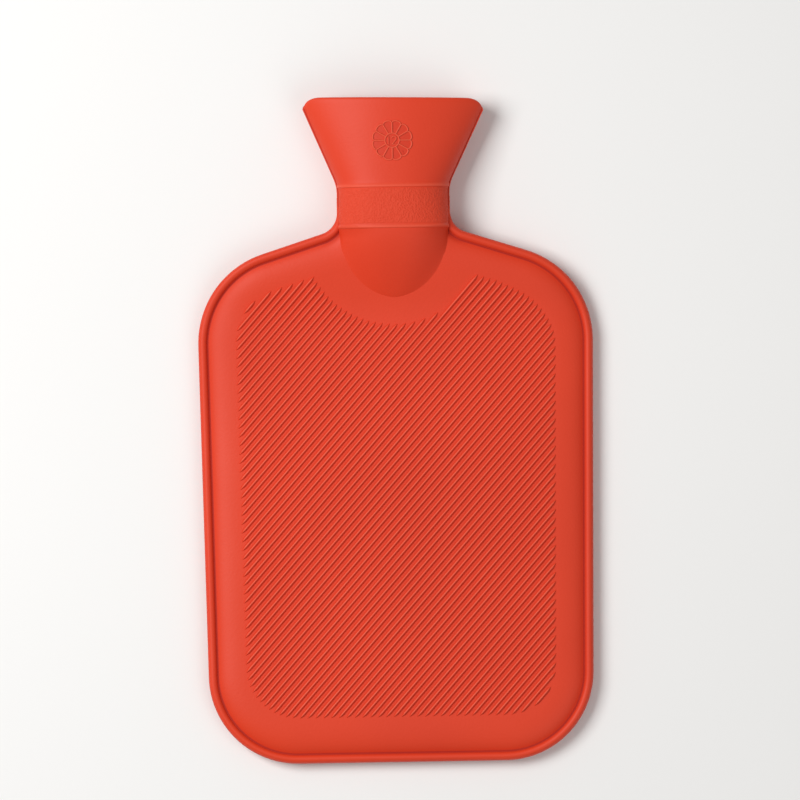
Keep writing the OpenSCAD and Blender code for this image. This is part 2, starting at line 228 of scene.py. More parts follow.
def activate(*objects):
    """Selects just these objects, the first of them active."""
    bpy.ops.object.select_all(action="DESELECT")
    for piece in objects:
        piece.select_set(True)
    bpy.context.view_layer.objects.active = objects[0]


def apply_modifiers(piece):
    """Applies the piece's modifiers in order."""
    activate(piece)
    for name in [m.name for m in piece.modifiers]:
        bpy.ops.object.modifier_apply(modifier=name)


def apply_place(piece):
    """Moves the piece's place, turn and size into its mesh."""
    activate(piece)
    bpy.ops.object.transform_apply(location=True, rotation=True, scale=True)


def clean(piece):
    """Merges doubled points and turns the faces outwards."""
    gap = 0.01 * MM
    activate(piece)
    bpy.ops.object.mode_set(mode="EDIT")
    bpy.ops.mesh.select_all(action="SELECT")
    bpy.ops.mesh.remove_doubles(threshold=gap)
    bpy.ops.mesh.dissolve_degenerate(threshold=gap / 10)
    bpy.ops.mesh.normals_make_consistent(inside=False)
    bpy.ops.object.mode_set(mode="OBJECT")


def finish_piece(piece, material, body, slot, *nodes, smooth=40):
    """Gives a finished piece its smooth shading, material and body, and hides the nodes that it stands
    for; the slot is not used.
    """
    activate(piece)
    bpy.ops.object.shade_smooth_by_angle(angle=math.radians(smooth))
    piece.data.materials.clear()
    piece.data.materials.append(material)
    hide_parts(*nodes)
    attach(piece, body)


class Skin:
    """Points and faces of a skin that grows ring by ring, each point marked for painted highlight
    (crest) and painted shade.
    """

    def __init__(self):
        self.points = []
        self.faces = []
        self.crest = []
        self.recess = []

    def add(self, points, faces, crest=0.0, recess=0.0):
        """Adds points with their marks, and faces that count from the first of the points."""
        start = len(self.points)
        points = np.asarray(points, float).reshape(-1, 3)
        self.points.extend(points.tolist())
        self.crest.extend(np.broadcast_to(crest, len(points)).tolist())
        self.recess.extend(np.broadcast_to(recess, len(points)).tolist())
        self.faces.extend([[start + i for i in face] for face in faces])

    def make(self, name):
        """The skin as an object, merged and with its faces turned outwards."""
        mesh = bpy.data.meshes.new(name)
        mesh.from_pydata(self.points, [], self.faces)
        # the crest mark asks for a painted highlight, the other mark for painted shade
        for mark in ("crest", "recess"):
            layer = mesh.attributes.new(mark, "FLOAT", "POINT")
            layer.data.foreach_set("value", np.array(getattr(self, mark), np.float32))
        piece = bpy.data.objects.new(name, mesh)
        bpy.context.scene.collection.objects.link(piece)
        clean(piece)
        return piece


def ring_faces(rings, around, capped=False, closed=False):
    """Faces between rings of points that follow each other, capped or closed to a loop."""
    faces = []
    for i in range(rings if closed else rings - 1):
        here, there = i * around, (i + 1) % rings * around
        for k in range(around):
            n = (k + 1) % around
            faces.append([here + k, here + n, there + n, there + k])
    if capped:
        faces.append(list(range(around))[::-1])
        faces.append([(rings - 1) * around + k for k in range(around)])
    return faces


def sweep(skin, points, ups, profile, scales=1.0, closed=False, crest=0.0, recess=0.0):
    """Carries a profile of (across, up) pairs along points that lie on a surface."""
    points, ups, profile = (np.asarray(a, float) for a in (points, ups, profile))
    n, around = len(points), len(profile)
    if closed:
        along = np.roll(points, -1, 0) - np.roll(points, 1, 0)
    else:
        along = np.gradient(points, axis=0)
    along /= np.linalg.norm(along, axis=1, keepdims=True)
    across = np.cross(along, ups)
    across /= np.linalg.norm(across, axis=1, keepdims=True)
    scales = np.broadcast_to(scales, n)[:, None]
    rings = points[:, None] + scales[:, :, None] * (
        across[:, None] * profile[:, :1] + ups[:, None] * profile[:, 1:])
    marks = [(scales * np.broadcast_to(m, around)).ravel() for m in (crest, recess)]
    skin.add(rings, ring_faces(n, around, capped=not closed, closed=closed), *marks)


def mirrored(half, top):
    """A profile from the points of one half and the height of its middle."""
    return half + [(0, top)] + [(-x, y) for x, y in half[::-1]]


def ramp(d, soft):
    """Nothing below zero and d above it, with a soft knee between."""
    d = np.asarray(d, float)
    knee = (d + soft) ** 2 / (4 * soft)
    return np.where(d > soft, d, np.where(d < -soft, 0.0, knee))


def near(d, middle, reach):
    """One at the middle, falling to nothing at the reach on both sides of it."""
    return max(0.0, 1 - abs(d - middle) / reach)


def full_turn(count):
    """Angles once round."""
    return np.linspace(0, 2 * math.pi, count + 1)[:-1]


def arc(centre, r, start, end, count, side=1):
    """Points of an arc and its normals: away from the centre, or towards it if side is -1."""
    t = np.linspace(start, end, count)
    way = np.stack([np.cos(t), np.sin(t)], 1)
    return centre + r * way, way * side


class Shape:
    """The bottle's form, worked out from its sizes: edge, wall, height and neck."""

    def __init__(self, b, n):
        self.b, self.n = b, n
        self.foot = np.array([b.foot_w / 2 - b.foot_r, b.foot_r])
        self.shoulder = np.array([b.body_w / 2 - b.shoulder_r, b.shoulder_y])
        rise = self.shoulder[1] - self.foot[1]
        self.side_a = math.asin((b.foot_r - b.shoulder_r) / rise)
        self.slope_a = math.pi / 2 - b.shoulder_slope
        self.side_n = np.array([math.cos(self.side_a), math.sin(self.side_a)])
        self.slope_n = np.array([math.cos(self.slope_a), math.sin(self.slope_a)])
        self.apex_y = (self.slope_n @ self.shoulder + b.shoulder_r) / self.slope_n[1]
        corner_x = n.neck_w / 2 + n.fillet_r
        self.fillet = np.array([corner_x, self.apex_y + n.fillet_r / math.cos(b.shoulder_slope)
                                - corner_x * math.tan(b.shoulder_slope)])
        self.funnel_y = n.neck_y + n.neck_l
        self.total_l = BOTTLE_HIGH[1] - BOTTLE_LOW[1]
        self.bend_k = (AXIS_Z - b.body_z) / (n.neck_y - b.bend_y)

    def edge(self):
        """Points and outward normals of the right half of the edge, from foot to neck."""
        b, n = self.b, self.n
        # the edge ends inside the neck, a little below the funnel
        neck_top = np.array([n.neck_w / 2, self.funnel_y - 6 * MM])
        # each arc with its count of points, and the steps of the straight runs before them
        stops = [
            (np.array([0.0, 0.0]), np.array([0.0, -1.0])),
            arc(self.foot, b.foot_r, -math.pi / 2, self.side_a, 26),
            arc(self.shoulder, b.shoulder_r, self.side_a, self.slope_a, 24),
            arc(self.fillet, n.fillet_r, self.slope_a + math.pi, math.pi, 16, -1),
            (neck_top, np.array([1.0, 0.0])),
        ]
        straight_steps = [10, 30, 10, 5]
        points, normals = [stops[0][0][None]], [stops[0][1][None]]
        for steps, (next_p, next_n) in zip(straight_steps, stops[1:]):
            next_p, next_n = np.atleast_2d(next_p), np.atleast_2d(next_n)
            t = np.linspace(0, 1, steps + 1)[1:-1, None]
            last_p = points[-1][-1]
            points += [last_p + t * (next_p[0] - last_p), next_p]
            normals += [np.repeat(next_n[:1], len(t), 0), next_n]
        return np.concatenate(points), np.concatenate(normals)

    def depth(self, x, y):
        """How far points lie inside the body's edge, the neck left aside."""
        b, x = self.b, np.abs(x)
        p = np.stack(np.broadcast_arrays(x, y), -1)
        side = self.side_n @ self.foot + b.foot_r - p @ self.side_n
        slope = self.slope_n[1] * self.apex_y - p @ self.slope_n
        inside = np.minimum(np.minimum(p[..., 1], side), slope)
        for centre, r, low, high in (
                (self.foot, b.foot_r, -math.pi / 2, self.side_a),
                (self.shoulder, b.shoulder_r, self.side_a, self.slope_a)):
            away = p - centre
            turn = np.arctan2(away[..., 1], away[..., 0])
            corner = (turn > low) & (turn < high)
            inside = np.where(corner, r - np.hypot(away[..., 0], away[..., 1]), inside)
        return inside

    def neck_depth(self, x, y):
        """How far a point near the neck lies inside the edge, the rounded corner included."""
        away = np.array([abs(x), y]) - self.fillet
        turn = math.atan2(away[1], away[0]) % (2 * math.pi)
        if away[1] > 0:
            return self.n.neck_w / 2 - abs(x)
        if turn < self.slope_a + math.pi:
            return math.hypot(*away) - self.n.fillet_r
        return float(self.depth(np.array(x), np.array(y)))

    def wall(self):
        """Depth and half thickness of the wall, from the edge to the ribbed field."""
        b = self.b
        # the bead's round ends at 152 degrees, where the groove starts
        round_bead = np.radians(np.linspace(0, 152, 12))
        bead = np.stack([b.bead_w / 2 * (1 - np.cos(round_bead)),
                         b.bead_t / 2 * np.sin(round_bead)], 1)
        low, full = b.groove_t / 2, b.body_t / 2
        start, end = b.bead_w + GROOVE_W, b.field_inset
        slope = [(0, 0), (0.02, 0.01), (0.05, 0.1), (0.11, 0.27), (0.2, 0.46), (0.34, 0.67),
                 (0.52, 0.83), (0.74, 0.95), (1, 1)]
        rise = [(start + (end - start) * u, low + (full - low) * v) for u, v in slope]
        return np.concatenate([bead, rise])

    def middle(self, y):
        """Height of the middle plane above the table: flat, then rising to the neck's axis."""
        b = self.b
        rise = ramp(y - b.bend_y, b.bend_soft) - ramp(y - self.n.neck_y, b.bend_soft)
        return b.body_z + self.bend_k * rise

    def ripple(self, x, y):
        """Unevenness of the soft upper wall: slow waves that fade out towards the neck."""
        across = np.sin(x / (17 * MM) + 1.3 * np.sin(y / (31 * MM)))
        along = np.sin(y / (21 * MM) + 0.8 * np.sin(x / (23 * MM)) + 1.1)
        slant, slant_share = np.sin((x + 1.6 * y) / (29 * MM) + 2.0), 0.7
        waves = (across + along + slant_share * slant) / (2 + slant_share)
        fade_end, fade_l = self.b.bend_y + 20 * MM, 40 * MM
        return self.b.ripple * waves * np.clip((fade_end - y) / fade_l, 0, 1)

    def half_width(self, y, right=False):
        """Half the width of dome, neck and funnel at a height, without their seams."""
        n = self.n
        neck = n.neck_w / 2 - n.seam_w
        if y < n.neck_y:
            share = (n.neck_y - y) / n.dome_l
            return neck * max(0.0, 1 - share ** DOME_POWER) ** (1 / DOME_POWER)
        mouth = n.funnel_w / 2 - n.seam_w + (n.lip_reach if right else 0.0)
        top = self.total_l - n.lip_drop - (n.lip_lean if right else 0.0)
        flare = (mouth - neck) / (top - self.funnel_y)
        return neck + flare * float(ramp(y - self.funnel_y, n.flare_soft))

    def section(self, y):
        """Half thickness and the two powers of the section at a height."""
        n = self.n
        if y < n.neck_y:
            # the dome rises from the wall, and its flanks grow steeper towards the neck
            share = max(0.0, 1 - (n.neck_y - y) / n.dome_l)
            low = self.b.body_t / 2
            rise = math.sin(math.pi / 2 * share) ** 0.95
            flank = 0.5 + 1.3 * (1 - share) ** 0.75
            return low + (n.neck_t / 2 - low) * rise, NECK_POWER, 1 / flank
        # the neck is a full oval, and towards the lip the funnel's ends grow pointed
        up = min(1.0, max(0.0, (y - self.funnel_y) / (self.total_l - self.funnel_y)))
        half = n.neck_t / 2 + (n.funnel_t - n.neck_t) / 2 * up
        return half, NECK_POWER - 0.4 * up, 2.0 - 0.75 * up

    def top_z(self, x, y):
        """Height of the neck's or funnel's upper surface above the table."""
        half, p, q = self.section(y)
        u = min(1.0, abs(x) / self.half_width(y))
        return AXIS_Z + half * (1 - u ** p) ** (1 / q)

    def top_normal(self, x, y):
        """Way out of the funnel's upper surface."""
        step = 0.2 * MM
        dx = (self.top_z(x + step, y) - self.top_z(x - step, y)) / (2 * step)
        dy = (self.top_z(x, y + step) - self.top_z(x, y - step)) / (2 * step)
        way = np.array([-dx, -dy, 1.0])
        return way / np.linalg.norm(way)


def wall_edge(shape):
    """Points and outward normals once round the edge, through a slot hidden in the neck."""
    points, normals = shape.edge()
    step = 2 * MM
    slot = [(SLOT_X, points[-1][1] - step), (SLOT_X, SLOT_Y + step), (0.0, SLOT_Y)]
    points = np.concatenate([points, slot])
    normals = np.concatenate([normals, np.zeros((len(slot), 2))])
    left = slice(-2, 0, -1)
    mirror = np.array([-1.0, 1.0])
    return (np.concatenate([points, points[left] * mirror]),
            np.concatenate([normals, normals[left] * mirror]))


def wall_rings(shape, edge, out):
    """Rings of flat points, half thicknesses and marks of painted shade, from the edge to the spine."""
    b, n = shape.b, shape.n
    # the bead thins out up the neck, and the corners beside the neck get painted shade
    neck_bead = 0.24
    thin = np.interp(edge[:, 1], [n.neck_y, shape.fillet[1] + 4 * MM], [1.0, neck_bead])
    from_corner = np.hypot(np.abs(edge[:, 0]) - n.neck_w / 2, edge[:, 1] - shape.fillet[1])
    corner = np.clip(1.4 - from_corner / n.fillet_r, 0, 1)
    pull_from, pull = 8 * MM, 0.9
    rings = []
    for d, h in shape.wall():
        flat = edge - d * out
        hidden = flat[:, 1] > SLOT_Y
        shrink = pull * min(1.0, max(0.0, d - pull_from) / (b.field_inset - pull_from))
        flat[hidden, 1] -= shrink * (flat[hidden, 1] - SLOT_Y)
        narrow = hidden & (edge[:, 1] > shape.fillet[1] - 0.1 * MM)
        flat[narrow, 0] = np.sign(edge[narrow, 0]) * np.maximum(np.abs(flat[narrow, 0]), SLOT_X)
        # painted shade as a dark line in the groove inside the bead, and as a wider pool in the corners
        # by the neck
        line = near(d, b.bead_w + GROOVE_W / 2, 0.8 * MM)
        pit = near(d, b.bead_w + 1.5 * GROOVE_W, 2 * MM)
        half = h * np.where(d < b.bead_w, thin, 1.0)
        rings.append((flat, half, np.maximum(line, corner * pit)))
    inner = rings[-1][0]
    spine_low, spine_high, spine_steps = 60 * MM, 246 * MM, 10
    spine = np.stack([np.zeros(len(edge)), np.clip(edge[:, 1], spine_low, spine_high)], 1)
    plain = np.zeros(len(edge))
    for t in np.linspace(0, 1, spine_steps + 1)[1:]:
        rings.append((inner + t * (spine - inner), plain + b.body_t / 2, plain))
    return rings


def body_wall(shape):
    """The two walls of the body, joined by the bead that runs along the edge."""
    edge, out = wall_edge(shape)
    rings = wall_rings(shape, edge, out)
    recess = np.concatenate([marks for _, _, marks in rings])
    least_z = 0.1 * MM
    skin = Skin()
    for side in (1, -1):
        points = []
        for flat, h, _ in rings:
            x, y = flat[:, 0], flat[:, 1]
            z = shape.middle(y) + side * h
            if side > 0:
                z = z + np.clip(h / (shape.b.body_t / 2), 0, 1) * shape.ripple(x, y)
            points.append(np.stack([x, y, np.maximum(z, least_z)], 1))
        faces = ring_faces(len(rings), len(edge))
        if side < 0:
            faces = [face[::-1] for face in faces]
        skin.add(np.concatenate(points), faces, recess=recess)
    return skin.make("body_wall")


def rib_profile(b):
    """Section of a rib: rounded crest, sloping sides and a foot sunk into the wall."""
    crest, foot, h, sunk = b.rib_crest_w / 2, b.rib_foot_w / 2, b.rib_h, 0.3 * MM
    points = mirrored([(foot + 0.15 * MM, -sunk), (foot, 0.04 * h), (foot - 0.16 * MM, 0.2 * h),
                       (crest + 0.06 * MM, 0.72 * h), (crest * 0.62, 0.94 * h)], h)
    # the first marks paint a highlight along the rib's crest, the second paint shade at its feet
    painted_highlight_marks = [0, 0, 0, 0.5, 1, 1, 1, 0.5, 0, 0, 0]
    recess_marks = [0.42, 0.42, 0.28, 0, 0, 0, 0, 0, 0.14, 0.28, 0.42]
    return points, painted_highlight_marks, recess_marks


def rib_runs(shape, line):
    """First and last places on a line between which the ribbed field has a rib."""
    b = shape.b
    x, y = line[:, 0], line[:, 1]
    lean = b.field_lean * np.clip((x - shape.shoulder[0]) / b.field_lean_w, 0, 1)
    edge = np.minimum(shape.depth(x, y + lean), shape.depth(x, y - b.field_foot))
    inside = (edge > b.field_inset) & (np.hypot(x, y - b.patch_y) > b.patch_r)
    change = np.flatnonzero(np.diff(np.concatenate([[0], inside.astype(int), [0]])))
    return zip(change[::2], change[1::2])


def rib_rise(run, fade):
    """Places along a rib and its height there, as a share: each end runs out over the fade."""
    step, end_share = 5.5 * MM, 0.12
    ends = fade * np.array([0, 0.3, 0.65])
    inner = np.linspace(fade, run - fade, max(2, round((run - 2 * fade) / step) + 1))
    s = np.concatenate([ends, inner, run - ends[::-1]])
    share = np.clip(np.minimum(s, run - s) / fade, 0, 1)
    return s, end_share + (1 - end_share) * np.sin(share * math.pi / 2)


def add_ribs(shape, skin, side):
    """The slanting ribs on the upper (side 1) or lower (side -1) wall."""
    b = shape.b
    along = np.array([math.cos(b.rib_angle) * side, math.sin(b.rib_angle)])
    across = np.array([-along[1], along[0]])
    centre = np.array([0.0, shape.shoulder[1] / 2 + 20 * MM])
    reach, fine, shortest = 230 * MM, 0.1 * MM, 3 * MM
    t = np.arange(-reach, reach, fine)
    profile, crest, recess = rib_profile(b)
    for k in range(int(-reach / b.rib_pitch), int(reach / b.rib_pitch) + 1):
        line = centre + t[:, None] * along + k * b.rib_pitch * across
        for first, last in rib_runs(shape, line):
            run = (last - first) * fine
            if run < shortest:
                continue
            s, rise = rib_rise(run, min(b.rib_fade, run / 3))
            flat = line[first] + s[:, None] * along
            x, y = flat[:, 0], flat[:, 1]
            z = shape.middle(y) + side * b.body_t / 2
            if side > 0:
                z = z + shape.ripple(x, y)
            ups = np.tile([0.0, 0.0, float(side)], (len(s), 1))
            sweep(skin, np.stack([x, y, z], 1), ups, profile, rise, crest=crest, recess=recess)


def neck_heights(shape):
    """Heights up dome and neck, each with how far a ridge stands out there."""
    n = shape.n
    gap = 0.05 * MM
    low, high = n.neck_y - n.dome_l + gap, n.neck_y - n.ridge_w / 2 - gap
    dome = low + (high - low) * (1 - np.cos(np.linspace(0, math.pi / 2, 22)))
    band = np.linspace(n.neck_y + n.ridge_w / 2, shape.funnel_y - n.ridge_w / 2, 12)[1:-1]
    # a ridge is crisp below and soft above, in shares of its width and height
    ridge = [(0, 0), (0.06, 0.45), (0.14, 0.82), (0.24, 1), (0.36, 0.98), (0.5, 0.8),
             (0.66, 0.5), (0.82, 0.2), (1, 0)]
    rows = [(y, 0.0) for y in dome]
    rows += [(n.neck_y + n.ridge_w * (up - 0.5), n.ridge_h * out) for up, out in ridge]
    rows += [(y, 0.0) for y in band]
    rows += [(shape.funnel_y + n.ridge_w * (up - 0.5), n.ridge_h * out) for up, out in ridge]
    return rows


def neck_rows(shape, shares, sides):
    """Sections up dome and neck, each with how far a ridge stands out there."""
    n = shape.n
    profile = shape.wall()
    sunk, least_z = 0.35 * MM, 0.15 * MM
    base_end = shape.fillet[1] + 5 * MM
    neck_base = 0.0
    for y, bulge in neck_heights(shape):
        a = shape.half_width(y)
        half, p, q = shape.section(y)
        d = shape.neck_depth(min(a, n.neck_w / 2), y)
        base = max(0.0, float(np.interp(d, profile[:, 0], profile[:, 1])) - sunk)
        if y > n.neck_y:
            base = max(0.0, min(base, neck_base * (base_end - y) / (base_end - n.neck_y)))
        else:
            neck_base = base
        lift = base + (half + bulge - base) * (1 - np.abs(shares) ** p) ** (1 / q)
        z = np.maximum(shape.middle(y) + sides * lift, least_z)
        yield np.stack([(a + bulge) * shares, np.full(len(shares), y), z], 1), bulge


def lip_heights(shape, shares):
    """Heights of the lip: level, rounded down at both ends and a little lower at the right."""
    n = shape.n
    a = n.funnel_w / 2 - n.seam_w
    over = np.clip((np.abs(shares) * a - (a - n.lip_corner)) / n.lip_corner, 0, 1)
    lean = n.lip_lean * (1 + shares) / 2
    return shape.total_l - lean - n.lip_drop * (1 - np.sqrt(1 - over ** 2))


def funnel_row(shape, shares, sides, ends, up, inside):
    """One row up the funnel's outer or inner wall, each point on its own way to the lip."""
    n = shape.n
    low = shape.funnel_y + (0.0 if inside else n.ridge_w / 2)
    pointed_wall = 1.35 * n.funnel_wall
    row = []
    for share, side, end in zip(shares, sides, ends):
        y = low + (end - low) * up
        half, p, q = shape.section(y)
        a = shape.half_width(y, share > 0)
        if inside:
            half -= n.funnel_wall
            a -= pointed_wall
        row.append([a * share, y, AXIS_Z + side * half * (1 - abs(share) ** p) ** (1 / q)])
    return np.array(row)


def throat_rows(shape, floor_row):
    """Rows from the funnel's floor to the bush's hole, and down the throat behind the bush."""
    n = shape.n
    bore = (BUSH_HIGH[0] - BUSH_LOW[0]) / 2 - 0.05 * MM
    axis = np.array([0.0, shape.funnel_y, AXIS_Z])
    turns = np.arctan2(floor_row[:, 2] - AXIS_Z, floor_row[:, 0])
    ring = bore * np.stack([np.cos(turns), np.zeros(len(turns)), np.sin(turns)], 1)
    for t in (0.35, 0.7, 1.0):
        yield floor_row + t * (axis + ring - floor_row)
    for y, share in ((n.neck_y - 1 * MM, 1.0), (n.neck_y - 9 * MM, 0.75)):
        yield share * ring + (0.0, y, AXIS_Z)


def neck_skin(shape):
    """Dome, neck and funnel with its rolled lip, its inside and the throat, as one skin."""
    n = shape.n
    top = np.cos(np.linspace(0, math.pi, NECK_POINTS))
    shares = np.concatenate([top, top[::-1]])
    sides = np.repeat([1, -1], NECK_POINTS)
    rows, crests, recess = [], [], []

    def add(row, crest=0.0, pit=0.0):
        """Adds a row of points that share their marks."""
        rows.append(row)
        crests.append(np.full(len(row), crest))
        recess.append(np.full(len(row), pit))

    # the ridges get a painted highlight along their crests
    for row, bulge in neck_rows(shape, shares, sides):
        add(row, crest=0.6 * bulge / n.ridge_h)
    # up the outside of the funnel, over the rolled lip, down its inside and into the throat
    lip_r = n.funnel_wall / 2
    ends = lip_heights(shape, shares) - lip_r
    for up in np.linspace(0, 1, 22)[1:]:
        add(funnel_row(shape, shares, sides, ends, up, False))
    outer = rows[-1]
    inner = funnel_row(shape, shares, sides, ends, 1, True)
    # a faint painted highlight over the rolled lip
    for turn in np.linspace(0, math.pi, 11)[1:]:
        row = (outer + inner) / 2 + (outer - inner) / 2 * math.cos(turn)
        row[:, 1] = outer[:, 1] + lip_r * math.sin(turn)
        add(row, crest=0.1 * math.sin(turn))
    # painted shade that grows down the funnel's inside
    for up in np.linspace(1, 0, 16)[1:]:
        add(funnel_row(shape, shares, sides, ends, up, True), pit=0.1 * (1 - up))
    # painted shade in the throat
    for row in throat_rows(shape, rows[-1]):
        add(row, pit=0.2)
    skin = Skin()
    faces = ring_faces(len(rows), len(shares), capped=True)
    skin.add(np.concatenate(rows), faces, np.concatenate(crests), np.concatenate(recess))
    return skin.make("neck_skin")


def add_seams(shape, skin):
    """The thin seam along both sides of neck and funnel, left by the halves of the mould."""
    n = shape.n
    reach, t = n.seam_w, n.seam_t / 2
    sunk, root, below_lip = 0.1 * MM, 0.8 * MM, 0.5 * MM
    first_turn, last_turn = math.radians(8), math.radians(36)
    profile = mirrored([(-t, -root), (-t, reach * 0.35), (-t * 0.75, reach * 0.85)], reach)
    for side in (1, -1):
        right = side > 0
        low = shape.fillet[1] - 1 * MM
        high = shape.total_l - n.lip_drop - below_lip - (n.lip_lean if right else 0.0)
        path, ups, scale = [], [], []
        for y in np.linspace(low, high, 40):
            path.append([side * (shape.half_width(y, right) - sunk), y, AXIS_Z])
            ups.append([side, 0, 0])
            scale.append(1.0)
        # round the corner of the lip it runs out
        top = shape.half_width(high, right)
        for turn in np.linspace(first_turn, last_turn, 6):
            x = top - n.lip_corner * (1 - math.cos(turn)) - sunk
            y = high + 2 * sunk + (n.lip_drop - below_lip - sunk) * math.sin(turn)
            path.append([side * x, y, AXIS_Z])
            ups.append([side * math.cos(turn), math.sin(turn), 0])
            scale.append(1 - 0.9 * turn / last_turn)
        # a painted highlight along the seam's top and painted shade at its roots
        sweep(skin, path, ups, profile, scale, crest=[0, 0, 0.5, 0.8, 0.5, 0, 0],
              recess=[0.7, 0.6, 0, 0, 0, 0.6, 0.7])


def add_line(shape, skin, flat, closed=False, width=None):
    """A fine raised line on the funnel's upper surface, through flat points (x, y)."""
    w = (width or shape.n.rosette_line) / 2
    h = shape.n.rosette_h
    path = [[x, y, shape.top_z(x, y)] for x, y in flat]
    ups = [shape.top_normal(x, y) for x, y in flat]
    profile = mirrored([(-w * 1.3, -0.4 * h), (-w, 0.2 * h), (-w * 0.55, 0.8 * h)], h)
    # a painted highlight along the line's top and painted shade at its feet
    sweep(skin, path, ups, profile, closed=closed, crest=[0, 0.3, 0.9, 1, 0.9, 0.3, 0],
          recess=[0.35, 0.15, 0, 0, 0, 0.15, 0.35])


def at(centre, r, turn):
    """The flat point at a radius and an angle about a centre."""
    return [centre[0] + r * math.cos(turn), centre[1] + r * math.sin(turn)]


def add_number(shape, skin, centre):
    """The plain number 12 inside the rosette's ring."""
    n = shape.n
    high, wide = 1.12 * n.hub_r, 0.62 * n.hub_r
    bow_x, bow_r = centre[0] + 0.45 * wide, 0.5 * wide
    top, low = centre[1] + high / 2, centre[1] - high / 2
    one = [[centre[0] - 0.85 * wide, y] for y in np.linspace(low, top, 5)]
    bow = [at((bow_x, top - bow_r), bow_r, a) for a in np.radians(np.linspace(170, -35, 9))]
    foot_x = bow_x - bow_r
    slant = [[bow[-1][0] + (foot_x - bow[-1][0]) * s, bow[-1][1] + (low - bow[-1][1]) * s]
             for s in (0.33, 0.66, 1.0)]
    base = [[foot_x + 2.1 * bow_r * s, low] for s in np.linspace(0, 1, 4)]
    for line in (one, bow + slant, base):
        add_line(shape, skin, line, width=n.digit_line)


def add_rosette(shape, skin):
    """The moulded rosette on the funnel: petals round a ring that holds a plain number."""
    n = shape.n
    centre = (0.0, n.rosette_y)
    step = 2 * math.pi / n.petals
    add_line(shape, skin, [at(centre, n.hub_r, a) for a in full_turn(32)], closed=True)
    scallop = []
    for k in range(n.petals):
        for s in np.linspace(-0.5, 0.5, 9)[:-1]:
            bulge = math.sqrt(max(0.0, 1 - (2 * s) ** 2))
            r = n.notch_r + (n.rosette_r - n.notch_r) * bulge
            scallop.append(at(centre, r, (k + 0.5 + s) * step))
    add_line(shape, skin, scallop, closed=True)
    for k in range(n.petals):
        spoke = [at(centre, r, k * step) for r in np.linspace(n.hub_r, n.notch_r, 7)]
        add_line(shape, skin, spoke)
    add_number(shape, skin, centre)
    # two small dots, one behind the other in one petal
    dot_r = 0.12 * MM
    for share, turn in ((0.76, -1.58 * step), (0.87, -1.66 * step)):
        middle = at(centre, share * n.rosette_r, turn)
        dot = [at(middle, dot_r, a) for a in full_turn(8)]
        add_line(shape, skin, dot, closed=True, width=2 * dot_r)


class BOTTLE_OT_rubber_bottle(bpy.types.Operator):
    """Makes the moulded rubber bottle: walls, bead, ribs, dome, neck, funnel and rosette"""
    bl_idname = "bottle.rubber_bottle"
    bl_label = "Rubber bottle"

    def execute(self, context):
        shape = Shape(context.scene.bottle_sizes, context.scene.neck_sizes)
        walls = body_wall(shape)
        fine = Skin()
        add_ribs(shape, fine, 1)
        add_ribs(shape, fine, -1)
        add_seams(shape, fine)
        add_rosette(shape, fine)
        details = fine.make("mould_details")
        neck = neck_skin(shape)
        activate(walls, neck, details)
        bpy.ops.object.join()
        walls.name = walls.data.name = "moulded_rubber_bottle"
        walls.location = (0, BOTTLE_LOW[1], 0)
        apply_place(walls)
        finish_piece(walls, moulded_rubber(context.scene.finishes, shape), "bottle",
                     "natural_rubber", "rubber_bottle", smooth=35)
        return {"FINISHED"}


def lathe(skin, section, closed=False, count=96):
    """Turns a section of (radius, height) pairs about the neck's axis."""
    t = full_turn(count)
    rows = [np.stack([r * np.cos(t), np.full(count, y), AXIS_Z + r * np.sin(t)], 1)
            for r, y in section]
    skin.add(np.concatenate(rows), ring_faces(len(rows), count, not closed, closed))


class BOTTLE_OT_threaded_bush(bpy.types.Operator):
    """Gives the turned brass bush in the neck its finish"""
    bl_idname = "bottle.threaded_bush"
    bl_label = "Threaded bush"

    def execute(self, context):
        brass = turned_brass(context.scene.finishes)
        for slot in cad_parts["threaded_bush"].material_slots:
            slot.material = brass
        return {"FINISHED"}


class BOTTLE_OT_stopper_stud(bpy.types.Operator):
    """Makes the brass stud of the stopper with its coarse right-hand thread"""
    bl_idname = "bottle.stopper_stud"
    bl_label = "Stopper stud"

    def execute(self, context):
        s = context.scene.stopper_sizes
        tip, end = STUD_LOW[1], STUD_HIGH[1]
        seat, shoulder = WASHER_LOW[1], WASHER_HIGH[1]
        skin = Skin()
        lathe(skin, [(s.core_r - s.chamfer, tip), (s.core_r, tip + s.chamfer),
                     (s.core_r, shoulder), (s.root_r, shoulder), (s.root_r, end)])
        turns = (seat - tip - 2 * s.thread_start) / s.pitch
        t = np.linspace(0, 2 * math.pi * turns, 128)
        ups = np.stack([np.cos(t), np.zeros(len(t)), -np.sin(t)], 1)
        path = (s.core_r - s.thread_sunk) * ups
        path[:, 1] = tip + s.thread_start + s.pitch * t / (2 * math.pi)
        path[:, 2] += AXIS_Z
        foot, crest, edge = s.ridge_foot_w / 2, s.ridge_crest_w / 2, 0.1 * MM
        rise = s.thread_r - s.core_r + s.thread_sunk
        profile = [(-foot, 0), (-crest - edge, rise * 0.9), (-crest, rise), (crest, rise),
                   (crest + edge, rise * 0.9), (foot, 0)]
        run_out = math.radians(50)
        least = 0.2
        scale = np.clip(np.minimum(t, t[-1] - t) / run_out, least, 1)
        sweep(skin, path, ups, profile, scale)
        stud = skin.make("threaded_stud")
        brass = bpy.data.materials["turned_brass"]
        finish_piece(stud, brass, "stopper", "brass", "stopper_stud", smooth=35)
        return {"FINISHED"}


